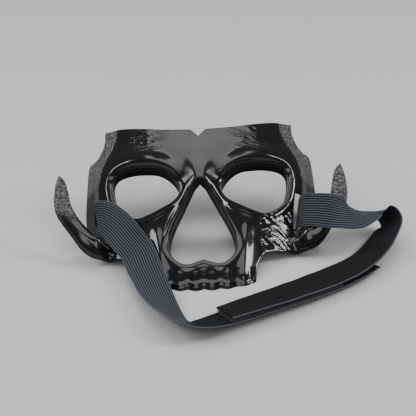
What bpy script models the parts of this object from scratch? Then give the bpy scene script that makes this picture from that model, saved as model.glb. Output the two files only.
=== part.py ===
"""A skull half mask in hollow moulded plastic, lying face up with its two elastic straps joined in front.

The face is drawn in its own plane in millimetres: across (x), up the face (v) and out of the face (w).
That plane leans back, so the mask rests on its teeth and on the low corners of its two side walls.
The origin is on the level face under the teeth, REST_BACK behind their front edge.
"""
import math

import bmesh
import bpy
import numpy as np
from mathutils.geometry import delaunay_2d_cdt

MM = 0.001
FACE_LEAN = math.radians(30.0)
SINK = 0.7
REST_BACK = 2.85
WALL = 2.8
GRID = 4.0
EDGE_STEP = 3.8
TOOTH_PITCH = 11.5
TOOTH_NOTCH = 1.8
TEETH_HALF = 34.5
NOSE_WALL = 11.0
EYE_WALL = 10.0
HORN_HALF_WIDTH = 5.5
HORN_BULGE = 3.2
HORN_EDGE = 1.4
HORN_FROM = 91.0
CHEEK_FROM = 58.0
CREASE_SOFT = 2.2
BROW_BELOW = 4.5
BROW_ABOVE = 8.0
STRAP_WIDTH = 25.0
STRAP_THICK = 1.4
STRAP_STEP = 4.0
TAPE_WIDTH = 24.0
TAPE_THICK = 1.0
LAYER_GAP = 0.3

# Rings of a wall that turns in round a hole: how far into the hole, and how far down as a share of the wall
TURNED_WALL = ((1.0, 0.16), (2.6, 1.0), (0.4, 1.02))

# Relief of the face: up, base, nose ridge, ridge half width, crease of the side wall, wall slope, curve
FACE = (
    (-5.0, 0.0, 0.0, 24.0, 60.0, 1.0, 13.0),
    (8.0, 2.0, 0.5, 24.0, 60.0, 1.0, 13.0),
    (20.0, 3.5, 1.5, 25.0, 62.0, 1.0, 15.0),
    (35.0, 3.0, 3.0, 25.0, 64.0, 1.0, 15.0),
    (47.0, 2.0, 5.0, 22.0, 66.5, 1.1, 15.0),
    (60.0, 1.0, 7.0, 18.5, 71.0, 1.6, 15.0),
    (72.0, 1.5, 9.0, 14.0, 75.0, 2.1, 15.0),
    (83.0, 3.0, 9.5, 11.0, 76.0, 1.8, 15.0),
    (93.0, 4.5, 7.0, 11.0, 75.5, 1.6, 15.0),
    (103.0, 5.5, 3.0, 14.0, 74.0, 1.4, 14.5),
    (113.0, 5.0, 1.0, 16.0, 70.0, 1.2, 12.5),
    (122.0, 3.0, 0.0, 16.0, 65.0, 1.0, 11.0),
    (133.0, 0.0, 0.0, 16.0, 62.0, 0.8, 10.0),
    (150.0, -5.0, 0.0, 16.0, 62.0, 0.7, 9.5),
)
BASE, RIDGE, RIDGE_HALF, CREASE, SLOPE, CURVE = range(1, 7)

# Brow over the eye hole: across, up, height
BROW = (
    (0.0, 92.0, 0.0),
    (9.0, 92.0, 1.0),
    (17.0, 95.0, 3.5),
    (27.0, 101.0, 4.5),
    (38.0, 105.0, 4.5),
    (50.0, 106.5, 4.0),
    (60.0, 105.0, 3.0),
    (70.0, 100.0, 1.0),
    (80.0, 96.0, 0.0),
)

# Cheek arch end: up, out of the face along it
HORN = (
    (33.0, -11.0),
    (40.0, -7.0),
    (48.0, -3.5),
    (58.0, -1.0),
    (66.0, 0.5),
    (75.0, 2.5),
    (85.0, 5.5),
    (94.0, 8.5),
)

# Middle of the gap between the arch end and the side wall: across, up
GAP = (
    (70.0, 45.5),
    (75.0, 49.5),
    (79.0, 53.4),
    (84.5, 60.5),
    (88.0, 68.0),
    (92.0, 80.0),
)

# Right half of the outline above the teeth, as runs of across, up that meet in corners
CHEEK_RUN = ((35.3, 1.3), (36.7, 10.8), (38.7, 20.4), (42.7, 27.6), (49.0, 31.0), (59.0, 32.3),
             (70.0, 32.5), (80.0, 34.5), (87.5, 39.8), (94.0, 48.5), (100.8, 58.0), (105.2, 66.0),
             (106.4, 75.0), (105.2, 85.0), (102.6, 92.5))
HOOK_RUN = ((102.6, 92.5), (98.6, 88.0), (96.4, 80.0), (94.4, 71.0), (90.4, 63.0), (84.8, 55.4),
            (78.5, 49.0), (71.0, 44.8))
LOW_RUN = ((71.0, 44.8), (74.0, 51.0), (79.4, 57.6), (84.2, 65.5), (87.5, 72.0))
SIDE_RUN = ((87.5, 72.0), (87.4, 80.0), (86.5, 90.0), (85.5, 103.0), (84.8, 113.0), (83.6, 119.0))
TEMPLE_RUN = ((78.6, 120.0), (75.0, 124.6), (71.6, 133.6), (71.4, 144.0))
TOP_RUN = ((71.4, 144.0), (62.5, 141.4), (49.0, 138.4), (26.5, 133.2), (6.0, 131.0))
NOTCH_APEX = (0.0, 124.0)

EYE = ((66.0, 92.5), (62.0, 98.6), (53.0, 100.8), (42.5, 100.4), (30.0, 97.8), (21.2, 92.5), (15.3, 85.5),
       (13.6, 78.5), (18.9, 71.2), (29.4, 66.0), (38.0, 62.4), (46.8, 60.8), (55.0, 64.6), (61.6, 71.5),
       (65.4, 82.0))
NOSE = ((0.0, 84.3), (3.6, 83.0), (6.6, 79.8), (8.6, 76.0), (13.6, 67.0), (20.0, 54.5), (24.6, 42.5),
        (25.5, 33.3), (21.6, 24.6), (15.5, 19.6), (9.4, 18.7), (4.5, 20.1), (0.0, 21.4))
SLOT = ((69.6, 80.4), (67.6, 66.0), (66.4, 51.4), (72.4, 53.4), (76.6, 60.0), (79.4, 68.0), (80.2, 80.4))

# Straps, one row for each station: centre x, y, z and the direction across the strap, in world axes
RIGHT_FREE = (
    (71.4, 68.6, 13.3, 0.16, 0.86, 0.49),
    (71.4, 67.2, 16.0, 0.16, 0.86, 0.49),
    (72.2, 65.2, 19.2, 0.12, 0.86, 0.49),
    (74.6, 60.8, 23.4, 0.00, 0.88, 0.47),
    (78.3, 52.6, 29.0, 0.01, 0.90, 0.44),
    (83.8, 47.8, 31.7, 0.04, 0.78, 0.62),
    (91.0, 44.0, 33.0, 0.05, 0.72, 0.69),
    (100.3, 39.4, 33.2, 0.03, 0.89, 0.45),
    (108.0, 41.3, 30.5, -0.30, 0.86, 0.40),
    (115.0, 49.0, 25.8, -0.58, 0.80, 0.06),
    (121.8, 58.2, 20.4, -0.60, 0.74, -0.30),
    (128.2, 61.6, 18.2, -0.46, 0.70, -0.55),
    (133.9, 61.6, 16.0, -0.46, 0.62, -0.64),
    (137.2, 57.2, 13.8, -0.57, 0.57, -0.60),
    (136.6, 51.8, 11.6, -0.64, 0.54, -0.54),
    (131.3, 43.0, 9.2, -0.68, 0.60, -0.42),
    (122.3, 28.2, 7.9, -0.66, 0.68, -0.33),
    (108.0, 13.0, 7.1, -0.55, 0.80, -0.22),
)
LEFT_FREE = (
    (-74.6, 70.6, 13.4, -0.28, 0.84, 0.48),
    (-74.8, 68.8, 16.2, -0.28, 0.84, 0.48),
    (-75.8, 66.0, 19.8, -0.24, 0.84, 0.48),
    (-76.6, 62.8, 23.0, -0.16, 0.86, 0.50),
    (-73.8, 60.4, 25.4, 0.00, 0.84, 0.54),
    (-68.2, 55.4, 26.2, 0.20, 0.76, 0.59),
    (-61.2, 46.6, 25.4, 0.42, 0.66, 0.60),
    (-54.6, 36.6, 22.6, 0.56, 0.62, 0.53),
    (-46.6, 26.6, 16.6, 0.66, 0.64, 0.38),
    (-42.2, 14.4, 12.9, 0.70, 0.68, 0.20),
    (-38.4, 3.4, 10.4, 0.70, 0.71, 0.00),
    (-34.3, -9.4, 8.8, 0.63, 0.76, -0.14),
    (-30.0, -21.4, 8.4, 0.50, 0.81, -0.30),
    (-24.4, -33.6, 8.6, 0.33, 0.83, -0.46),
    (-17.8, -43.0, 8.8, 0.10, 0.83, -0.54),
    (-9.6, -47.6, 8.0, -0.12, 0.86, -0.50),
    (0.6, -45.6, 6.3, -0.28, 0.88, -0.38),
)
# Where the straps lie on each other: the left strap's rows, from the right strap's free end outwards
OVERLAP = (
    (13.4, -39.4, 4.9, -0.37, 0.89, -0.27),
    (30.0, -31.0, 4.2, -0.35, 0.91, -0.24),
    (48.0, -22.2, 3.7, -0.34, 0.92, -0.20),
    (70.1, -11.2, 3.3, -0.34, 0.92, -0.17),
    (90.4, 0.0, 3.0, -0.42, 0.89, -0.15),
    (106.0, 10.6, 2.9, -0.52, 0.83, -0.15),
    (116.4, 20.4, 2.9, -0.58, 0.80, -0.15),
)
SHARED_ROWS = 5

COLORS = {
    "skull_face": ((0.012, 0.012, 0.014, 1.0), 0.18),
    "strap_left": ((0.035, 0.038, 0.045, 1.0), 0.85),
    "strap_right": ((0.035, 0.038, 0.045, 1.0), 0.85),
    "loop_tape": ((0.010, 0.010, 0.011, 1.0), 0.95),
    "hook_tape": ((0.012, 0.012, 0.013, 1.0), 0.70),
}


def read_rows(at, table, column, spread=4.0):
    """A table's column at a place, averaged over a few millimetres so that it bends smoothly."""
    keys = [row[0] for row in table]
    values = [row[column] for row in table]
    total = 0.0
    for offset, weight in ((-1.0, 0.15), (-0.5, 0.2), (0.0, 0.3), (0.5, 0.2), (1.0, 0.15)):
        total = total + weight * np.interp(at + offset * spread, keys, values)
    return total


def smooth_step(value):
    """Rises from 0 to 1 with level ends."""
    t = np.clip(value, 0.0, 1.0)
    return t * t * (3.0 - 2.0 * t)


def horn_share(x, v):
    """1 on the cheek's arch end, 0 on the face and its side wall, with a soft change at the cheek."""
    a = np.abs(x)
    gap_up = np.interp(a, [row[0] for row in GAP], [row[1] for row in GAP])
    reach = 1.5 + 6.5 * (1.0 - smooth_step((a - 62.0) / 14.0))
    below = smooth_step((gap_up - v + reach) / (2.0 * reach))
    below = np.where(a > HORN_FROM, 1.0, below)
    return below * smooth_step((a - CHEEK_FROM) / 18.0)


def relief(x, v):
    """Depth of the outer surface: a bent base, a nose ridge, brows, side walls and the arch ends."""
    a = np.abs(x)
    crease = read_rows(v, FACE, CREASE)
    ridge = read_rows(v, FACE, RIDGE) * np.exp(-(a / read_rows(v, FACE, RIDGE_HALF)) ** 2.5)
    across = np.minimum(a, crease + 4.0) / crease
    w = read_rows(v, FACE, BASE) + ridge - read_rows(v, FACE, CURVE) * across ** 2.3
    past = np.clip((a - crease) / CREASE_SOFT, -30.0, 30.0)
    w = w - read_rows(v, FACE, SLOPE) * CREASE_SOFT * np.log1p(np.exp(past))
    brow_up = read_rows(a, BROW, 1, 3.0)
    brow_side = np.where(v < brow_up, BROW_BELOW, BROW_ABOVE)
    w = w + read_rows(a, BROW, 2, 3.0) * np.exp(-((v - brow_up) / brow_side) ** 2)
    share = horn_share(x, v)
    return w * (1.0 - share) + read_rows(v, HORN, 1) * share


def curve_through(points, step, closed=False):
    """A smooth curve through a few named points, read at an even step."""
    p = np.array(points, float)
    if closed:
        p = np.vstack([p[-2:], p, p[:2]])
    else:
        p = np.vstack([2 * p[0] - p[1], p, 2 * p[-1] - p[-2]])
    out = []
    first = 1
    last = len(p) - 2 - (1 if closed else 0)
    for i in range(first, last):
        for t in np.linspace(0.0, 1.0, 12, endpoint=False):
            out.append(0.5 * (2 * p[i] + (p[i + 1] - p[i - 1]) * t
                              + (2 * p[i - 1] - 5 * p[i] + 4 * p[i + 1] - p[i + 2]) * t ** 2
                              + (3 * p[i] - p[i - 1] - 3 * p[i + 1] + p[i + 2]) * t ** 3))
    out.append(out[0] if closed else p[last])
    out = np.array(out)
    along = np.concatenate([[0.0], np.cumsum(np.linalg.norm(np.diff(out, axis=0), axis=1))])
    count = max(2, int(round(along[-1] / step)) + 1)
    at = np.linspace(0.0, along[-1], count)
    read = np.stack([np.interp(at, along, out[:, k]) for k in range(p.shape[1])], axis=1)
    return read[:-1] if closed else read


def mirrored(half):
    """A closed loop from its right half, which runs from the middle line to the middle line."""
    left = half[1:-1][::-1] * np.array([-1.0, 1.0])
    return np.vstack([half, left])


def outer_outline():
    """The mask's edge, from the middle of the teeth round the right side, and its mirror image."""
    across = np.arange(0.0, TEETH_HALF + 0.1, TOOTH_PITCH / 4.0)
    notch = np.abs(np.cos(math.pi * across / TOOTH_PITCH)) ** 3
    teeth = np.stack([across, TOOTH_NOTCH * notch], axis=1)
    runs = [teeth[:-1]]
    for run in (CHEEK_RUN, HOOK_RUN, LOW_RUN, SIDE_RUN, TEMPLE_RUN, TOP_RUN):
        read = curve_through(run, EDGE_STEP)
        runs.append(read[:-1] if run not in (SIDE_RUN, TOP_RUN) else read)
    return mirrored(np.vstack(runs + [[NOTCH_APEX]]))


def loops():
    """The outline and the holes cut in it: name, points and the depth of the wall that turns inward."""
    eye = curve_through(EYE, EDGE_STEP, closed=True)
    nose = mirrored(curve_through(NOSE, EDGE_STEP))
    slot = np.vstack([curve_through(pair, EDGE_STEP)[:-1] for pair in zip(SLOT, SLOT[1:] + SLOT[:1])])
    flip = np.array([-1.0, 1.0])
    return [
        ("outer", outer_outline(), 0.0),
        ("eye_right", eye, EYE_WALL),
        ("eye_left", eye[::-1] * flip, EYE_WALL),
        ("nose", nose, NOSE_WALL),
        ("slot_right", slot, 0.0),
        ("slot_left", slot[::-1] * flip, 0.0),
    ]


def inside(points, loop):
    """Which points a closed loop holds, by counting the edges that a level ray crosses."""
    held = np.zeros(len(points), bool)
    ends = np.roll(loop, -1, axis=0)
    for (x1, y1), (x2, y2) in zip(loop, ends):
        spans = (y1 > points[:, 1]) != (y2 > points[:, 1])
        cross = x1 + (points[:, 1] - y1) * (x2 - x1) / (y2 - y1 if y2 != y1 else 1e-9)
        held ^= spans & (points[:, 0] < cross)
    return held


def nearest(points, loop):
    """Distance from each point to a loop, and the nearest place on it."""
    best = np.full(len(points), 1e9)
    place = np.zeros_like(points)
    for start, end in zip(loop, np.roll(loop, -1, axis=0)):
        run = end - start
        t = np.clip(((points - start) @ run) / max(run @ run, 1e-12), 0.0, 1.0)
        foot = start + t[:, None] * run
        d = np.linalg.norm(points - foot, axis=1)
        closer = d < best
        best[closer] = d[closer]
        place[closer] = foot[closer]
    return best, place


def hole_side(loop):
    """At each point of a loop, the direction into the hole that it bounds."""
    tangent = np.roll(loop, -1, axis=0) - np.roll(loop, 1, axis=0)
    side = np.stack([-tangent[:, 1], tangent[:, 0]], axis=1)
    side /= np.linalg.norm(side, axis=1)[:, None]
    probe = inside(loop + 0.4 * side, loop)
    side[~probe] *= -1.0
    return side


def to_world(x, v, w):
    """Face axes in millimetres to world metres: the face plane leans back by FACE_LEAN."""
    y = v * math.cos(FACE_LEAN) - w * math.sin(FACE_LEAN)
    z = v * math.sin(FACE_LEAN) + w * math.cos(FACE_LEAN) - SINK
    return np.stack([x, y, z], axis=1) * MM


def make_material(name):
    color, roughness = COLORS[name]
    material = bpy.data.materials.new(name)
    material.use_nodes = True
    shader = material.node_tree.nodes["Principled BSDF"]
    shader.inputs["Base Color"].default_value = color
    shader.inputs["Roughness"].default_value = roughness
    shader.inputs["Metallic"].default_value = 0.0
    return material


def make_object(name, points, faces):
    mesh = bpy.data.meshes.new(name)
    mesh.from_pydata([tuple(p) for p in points], [], [tuple(f) for f in faces])
    mesh.validate()
    mesh.materials.append(make_material(name))
    mesh.shade_smooth()
    mesh.set_sharp_from_angle(angle=math.radians(40.0))
    obj = bpy.data.objects.new(name, mesh)
    obj.location.y = -REST_BACK * MM
    bpy.context.collection.objects.link(obj)
    return obj


def face_sheet(all_loops):
    """Triangles that fill the outline round its holes, with a grid of points inside."""
    flat = np.vstack([loop for _, loop, _ in all_loops])
    edges = []
    start = 0
    for _, loop, _ in all_loops:
        count = len(loop)
        edges += [(start + i, start + (i + 1) % count) for i in range(count)]
        start += count
    xs, vs = np.meshgrid(np.arange(-112.0, 112.1, GRID), np.arange(-4.0, 156.0, GRID))
    xs = xs + np.where((np.arange(xs.shape[0]) % 2 == 1)[:, None], GRID / 2.0, 0.0)
    grid = np.stack([xs.ravel(), vs.ravel()], axis=1)
    keep = inside(grid, all_loops[0][1])
    for name, loop, _ in all_loops:
        if name != "outer":
            keep &= ~inside(grid, loop)
        keep &= nearest(grid, loop)[0] > GRID * 0.55
    points = np.vstack([flat, grid[keep]])
    result = delaunay_2d_cdt([tuple(p) for p in points], edges, [], 0, 1e-6)
    points = np.array([tuple(p) for p in result[0]])
    triangles = np.array(result[2])
    middle = points[triangles].mean(axis=1)
    filled = inside(middle, all_loops[0][1])
    for _, loop, _ in all_loops[1:]:
        filled &= ~inside(middle, loop)
    return points, triangles[filled]


def back_places(points, all_loops):
    """Where the inner surface lies: a wall's thickness in from the outer one, and back from each hole."""
    step = 0.5
    x, v = points[:, 0], points[:, 1]
    share = horn_share(x, v)
    slope_x = (relief(x + step, v) - relief(x - step, v)) / (2 * step)
    slope_v = (relief(x, v + step) - relief(x, v - step)) / (2 * step)
    normal = np.stack([-slope_x, -slope_v, np.ones(len(x))], axis=1)
    normal /= np.linalg.norm(normal, axis=1)[:, None]
    straight = np.array([0.0, 0.0, 1.0])
    normal = normal * (1.0 - share[:, None]) + straight * share[:, None]
    normal /= np.linalg.norm(normal, axis=1)[:, None]
    distances = [nearest(points, loop) for _, loop, _ in all_loops]
    edge = distances[0][0]
    round_part = np.sqrt(np.clip(1.0 - (1.0 - np.minimum(edge, HORN_HALF_WIDTH) / HORN_HALF_WIDTH) ** 2, 0, 1))
    bulge = HORN_BULGE * round_part * share
    thick = WALL * (1.0 - share) + (HORN_EDGE + 2.0 * HORN_BULGE * round_part) * share
    front = np.stack([x, v, relief(x, v) + bulge], axis=1)
    back = front - normal * thick[:, None]
    for k, (_, _, depth) in enumerate(all_loops):
        if depth == 0.0:
            continue
        here, foot = distances[k]
        others = np.min([d for j, (d, _) in enumerate(distances) if j != k], axis=0)
        away = points - foot
        away /= np.maximum(np.linalg.norm(away, axis=1), 1e-6)[:, None]
        on_edge = here < 1e-3
        if on_edge.any():
            side = hole_side(all_loops[k][1])
            start = sum(len(loop) for _, loop, _ in all_loops[:k])
            away[start:start + len(side)] = -side
        back[:, :2] += away * (WALL * others / (here + others + 1e-6))[:, None]
    return front, back


def skull_face():
    """One hollow moulding: outer and inner surfaces, joined at the edge and round every hole."""
    all_loops = loops()
    points, triangles = face_sheet(all_loops)
    front, back = back_places(points, all_loops)
    count = len(points)
    vertices = [front, back]
    faces = [tuple(t) for t in triangles]
    faces += [tuple(int(i) + count for i in t[::-1]) for t in triangles]
    start = 0
    total = 2 * count
    for _, loop, depth in all_loops:
        size = len(loop)
        rim = front[start:start + size]
        rings = [np.arange(start, start + size)]
        if depth > 0.0:
            side = hole_side(loop)
            for inward, down in TURNED_WALL:
                ring = rim.copy()
                ring[:, :2] += side * inward
                ring[:, 2] -= depth * down
                vertices.append(ring)
                rings.append(np.arange(total, total + size))
                total += size
        rings.append(np.arange(start, start + size) + count)
        for upper, lower in zip(rings, rings[1:]):
            for i in range(size):
                j = (i + 1) % size
                faces.append((int(upper[i]), int(lower[i]), int(lower[j]), int(upper[j])))
        start += size
    places = np.vstack(vertices)
    obj = make_object("skull_face", to_world(places[:, 0], places[:, 1], places[:, 2]), faces)
    turn_outwards(obj)
    return obj


def turn_outwards(obj):
    """Points every face of a closed body away from its inside."""
    work = bmesh.new()
    work.from_mesh(obj.data)
    bmesh.ops.recalc_face_normals(work, faces=work.faces)
    if work.calc_volume(signed=True) < 0.0:
        bmesh.ops.reverse_faces(work, faces=work.faces)
    work.to_mesh(obj.data)
    work.free()


def trim_at_ground(obj):
    """Cuts the body level where it rests, with a box below the ground."""
    bpy.ops.mesh.primitive_cube_add(size=1.0, location=(0.0, 0.06, -0.02))
    ground = bpy.context.object
    ground.name = "ground_cutter"
    ground.scale = (0.4, 0.4, 0.04)
    bpy.ops.object.transform_apply(location=False, rotation=False, scale=True)
    ground.hide_render = True
    ground.display_type = "WIRE"
    cut = obj.modifiers.new("rest", "BOOLEAN")
    cut.operation = "DIFFERENCE"
    cut.solver = "EXACT"
    cut.object = ground


def band_axes(rows):
    """For rows along a band: their centres, the unit direction across it and the unit direction out of it."""
    table = np.array(rows, float)
    centre = table[:, :3]
    along = np.gradient(centre, axis=0)
    along /= np.linalg.norm(along, axis=1)[:, None]
    across = table[:, 3:6]
    across = across - along * np.sum(across * along, axis=1)[:, None]
    across /= np.linalg.norm(across, axis=1)[:, None]
    return centre, across, np.cross(along, across)


def lifted(rows, height):
    """The same rows moved out of the band by a height."""
    centre, across, out = band_axes(rows)
    return np.hstack([centre + out * height, across])


def ribbon(name, rows, width, thick):
    """A flat band carried along its rows, with square edges."""
    centre, across, out = band_axes(curve_through(rows, STRAP_STEP))
    corners = []
    for side, height in ((-1, -1), (1, -1), (1, 1), (-1, 1)):
        corners.append(centre + across * (side * width / 2.0) + out * (height * thick / 2.0))
    points = np.stack(corners, axis=1).reshape(-1, 3) * MM
    faces = [(3, 2, 1, 0)]
    for i in range(len(centre) - 1):
        for k in range(4):
            a, b = 4 * i + k, 4 * i + (k + 1) % 4
            faces.append((a, b, b + 4, a + 4))
    last = 4 * (len(centre) - 1)
    faces.append((last, last + 1, last + 2, last + 3))
    obj = make_object(name, points, faces)
    turn_outwards(obj)
    return obj


def straps():
    """Two straps that overlap in front, with a hook tape and a loop tape between them."""
    shared = np.array(OVERLAP[:SHARED_ROWS])
    loop_lift = (STRAP_THICK + TAPE_THICK) / 2.0 + LAYER_GAP
    hook_lift = loop_lift + TAPE_THICK + LAYER_GAP
    top_lift = hook_lift + loop_lift
    ribbon("strap_left", np.vstack([LEFT_FREE, OVERLAP]), STRAP_WIDTH, STRAP_THICK)
    ribbon("loop_tape", lifted(shared, loop_lift), TAPE_WIDTH, TAPE_THICK)
    ribbon("hook_tape", lifted(shared, hook_lift), TAPE_WIDTH, TAPE_THICK)
    top = lifted(shared, top_lift)[::-1]
    ribbon("strap_right", np.vstack([RIGHT_FREE, top]), STRAP_WIDTH, STRAP_THICK)


def main():
    for obj in list(bpy.data.objects):
        bpy.data.objects.remove(obj, do_unlink=True)
    trim_at_ground(skull_face())
    straps()


main()
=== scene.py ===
"""A gloss black skull half mask, lying face up with its two ribbed elastic straps joined in front.

The face is worked out in its own plane in millimetres: across (x), up the face (v) and out of it (w).
That plane leans back, as in the solids, and every place is turned into world metres at the end.
"""
import math
import random

import bmesh
import bpy
import numpy as np
from mathutils import Matrix
from mathutils.geometry import delaunay_2d_cdt


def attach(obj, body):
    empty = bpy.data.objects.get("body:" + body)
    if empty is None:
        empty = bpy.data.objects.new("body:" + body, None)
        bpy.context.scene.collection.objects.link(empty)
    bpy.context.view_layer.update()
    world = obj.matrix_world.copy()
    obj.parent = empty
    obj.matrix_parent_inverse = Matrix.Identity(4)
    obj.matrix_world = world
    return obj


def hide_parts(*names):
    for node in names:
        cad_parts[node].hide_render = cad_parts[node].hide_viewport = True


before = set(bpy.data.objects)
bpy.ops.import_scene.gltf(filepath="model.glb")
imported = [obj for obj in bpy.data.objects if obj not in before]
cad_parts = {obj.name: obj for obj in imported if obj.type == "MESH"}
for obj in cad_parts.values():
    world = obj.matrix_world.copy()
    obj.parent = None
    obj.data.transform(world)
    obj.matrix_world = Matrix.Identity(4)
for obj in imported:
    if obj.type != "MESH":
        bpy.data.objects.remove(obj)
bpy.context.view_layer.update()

bl_info = {
    "name": "Skull mask",
    "version": (1, 0, 0),
    "blender": (4, 5, 0),
    "location": "3D View > Sidebar > Skull mask",
    "description": "Gloss black skull half mask with ribbed elastic straps joined by hook and loop tape",
    "category": "Add Mesh",
}

MM = 0.001

# How the face lies: its lean, how deep it sinks to be cut level, and its shift towards the teeth
FACE_LEAN = math.radians(30.0)
SINK = 0.7
REST_BACK = 2.85

# The moulding's wall, and the spacing of its outer grid, inner grid and edge points
WALL = 2.8
FRONT_GRID = 0.85
BACK_GRID = 2.0
EDGE_STEP = 0.9

# Teeth, and the depth of the walls that turn in round the holes
TOOTH_PITCH = 11.5
TOOTH_NOTCH = 1.8
TEETH_HALF = 34.5
NOSE_WALL = 11.0
EYE_WALL = 10.0

# Cheek arch ends: half width of their rounding, its bulge, their edge, and where they begin across
HORN_HALF_WIDTH = 5.5
HORN_BULGE = 3.2
HORN_EDGE = 1.4
HORN_FROM = 91.0
CHEEK_FROM = 58.0

# Softness of the side walls' crease, and how far the brow reaches below and above its line
CREASE_SOFT = 2.2
BROW_BELOW = 4.5
BROW_ABOVE = 8.0

# Heights of the low relief
WAVE_HEIGHT = 0.015
ROOT_HEIGHT = 0.4
COLUMN_HEIGHT = 0.9
EYE_RIM_HEIGHT = 0.8
NOSE_RIM_HEIGHT = 0.35
LIP_HEIGHT = 0.7
DENT_HEIGHT = 0.05
CRACK_HEIGHT = 0.12
FACET_DEPTH = 0.35

# Straps and tapes: spacing of their stations, sizes, and the air between two layers
STRAP_STEP = 1.2
STRAP_THICK = 1.4
STRAP_LIE = 0.12
STRAP_LIE_WAVE = 17.0
TAPE_STEP = 1.5
TAPE_WIDTH = 24.0
TAPE_THICK = 1.0
TAPE_GROUND = 0.22
TAPE_MARGIN = 0.7
LAYER_GAP = 0.3

# How far the loop tape, the hook tape and the right strap lie above the middle of the left strap
LOOP_LIFT = (STRAP_THICK + TAPE_THICK) / 2.0 + LAYER_GAP
HOOK_LIFT = LOOP_LIFT + TAPE_THICK + LAYER_GAP
TOP_LIFT = HOOK_LIFT + LOOP_LIFT

# Relief of the face: up, base, nose ridge, ridge half width, crease of the side wall, wall slope, curve
FACE = (
    (-5.0, 0.0, 0.0, 24.0, 60.0, 1.0, 13.0),
    (8.0, 2.0, 0.5, 24.0, 60.0, 1.0, 13.0),
    (20.0, 3.5, 1.5, 25.0, 62.0, 1.0, 15.0),
    (35.0, 3.0, 3.0, 25.0, 64.0, 1.0, 15.0),
    (47.0, 2.0, 5.0, 22.0, 66.5, 1.1, 15.0),
    (60.0, 1.0, 7.0, 18.5, 71.0, 1.6, 15.0),
    (72.0, 1.5, 9.0, 14.0, 75.0, 2.1, 15.0),
    (83.0, 3.0, 9.5, 11.0, 76.0, 1.8, 15.0),
    (93.0, 4.5, 7.0, 11.0, 75.5, 1.6, 15.0),
    (103.0, 5.5, 3.0, 14.0, 74.0, 1.4, 14.5),
    (113.0, 5.0, 1.0, 16.0, 70.0, 1.2, 12.5),
    (122.0, 3.0, 0.0, 16.0, 65.0, 1.0, 11.0),
    (133.0, 0.0, 0.0, 16.0, 62.0, 0.8, 10.0),
    (150.0, -5.0, 0.0, 16.0, 62.0, 0.7, 9.5),
)
BASE, RIDGE, RIDGE_HALF, CREASE, SLOPE, CURVE = range(1, 7)

# Brow over the eye hole: across, up, height
BROW = (
    (0.0, 92.0, 0.0),
    (9.0, 92.0, 1.0),
    (17.0, 95.0, 3.5),
    (27.0, 101.0, 4.5),
    (38.0, 105.0, 4.5),
    (50.0, 106.5, 4.0),
    (60.0, 105.0, 3.0),
    (70.0, 100.0, 1.0),
    (80.0, 96.0, 0.0),
)

# Cheek arch end: up, out of the face along it
HORN = (
    (33.0, -11.0),
    (40.0, -7.0),
    (48.0, -3.5),
    (58.0, -1.0),
    (66.0, 0.5),
    (75.0, 2.5),
    (85.0, 5.5),
    (94.0, 8.5),
)

# Middle of the gap between the arch end and the side wall: across, up
GAP = (
    (70.0, 45.5),
    (75.0, 49.5),
    (79.0, 53.4),
    (84.5, 60.5),
    (88.0, 68.0),
    (92.0, 80.0),
)

# Right half of the outline above the teeth, as runs of across, up that meet in corners
CHEEK_RUN = ((35.3, 1.3), (36.7, 10.8), (38.7, 20.4), (42.7, 27.6), (49.0, 31.0), (59.0, 32.3),
             (70.0, 32.5), (80.0, 34.5), (87.5, 39.8), (94.0, 48.5), (100.8, 58.0), (105.2, 66.0),
             (106.4, 75.0), (105.2, 85.0), (102.6, 92.5))
HOOK_RUN = ((102.6, 92.5), (98.6, 88.0), (96.4, 80.0), (94.4, 71.0), (90.4, 63.0), (84.8, 55.4),
            (78.5, 49.0), (71.0, 44.8))
LOW_RUN = ((71.0, 44.8), (74.0, 51.0), (79.4, 57.6), (84.2, 65.5), (87.5, 72.0))
SIDE_RUN = ((87.5, 72.0), (87.4, 80.0), (86.5, 90.0), (85.5, 103.0), (84.8, 113.0), (83.6, 119.0))
TEMPLE_RUN = ((78.6, 120.0), (75.0, 124.6), (71.6, 133.6), (71.4, 144.0))
TOP_RUN = ((71.4, 144.0), (62.5, 141.4), (49.0, 138.4), (26.5, 133.2), (6.0, 131.0))
NOTCH_APEX = (0.0, 124.0)

EYE = ((66.0, 92.5), (62.0, 98.6), (53.0, 100.8), (42.5, 100.4), (30.0, 97.8), (21.2, 92.5), (15.3, 85.5),
       (13.6, 78.5), (18.9, 71.2), (29.4, 66.0), (38.0, 62.4), (46.8, 60.8), (55.0, 64.6), (61.6, 71.5),
       (65.4, 82.0))
NOSE = ((0.0, 84.3), (3.6, 83.0), (6.6, 79.8), (8.6, 76.0), (13.6, 67.0), (20.0, 54.5), (24.6, 42.5),
        (25.5, 33.3), (21.6, 24.6), (15.5, 19.6), (9.4, 18.7), (4.5, 20.1), (0.0, 21.4))
SLOT = ((69.6, 80.4), (67.6, 66.0), (66.4, 51.4), (72.4, 53.4), (76.6, 60.0), (79.4, 68.0), (80.2, 80.4))

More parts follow.
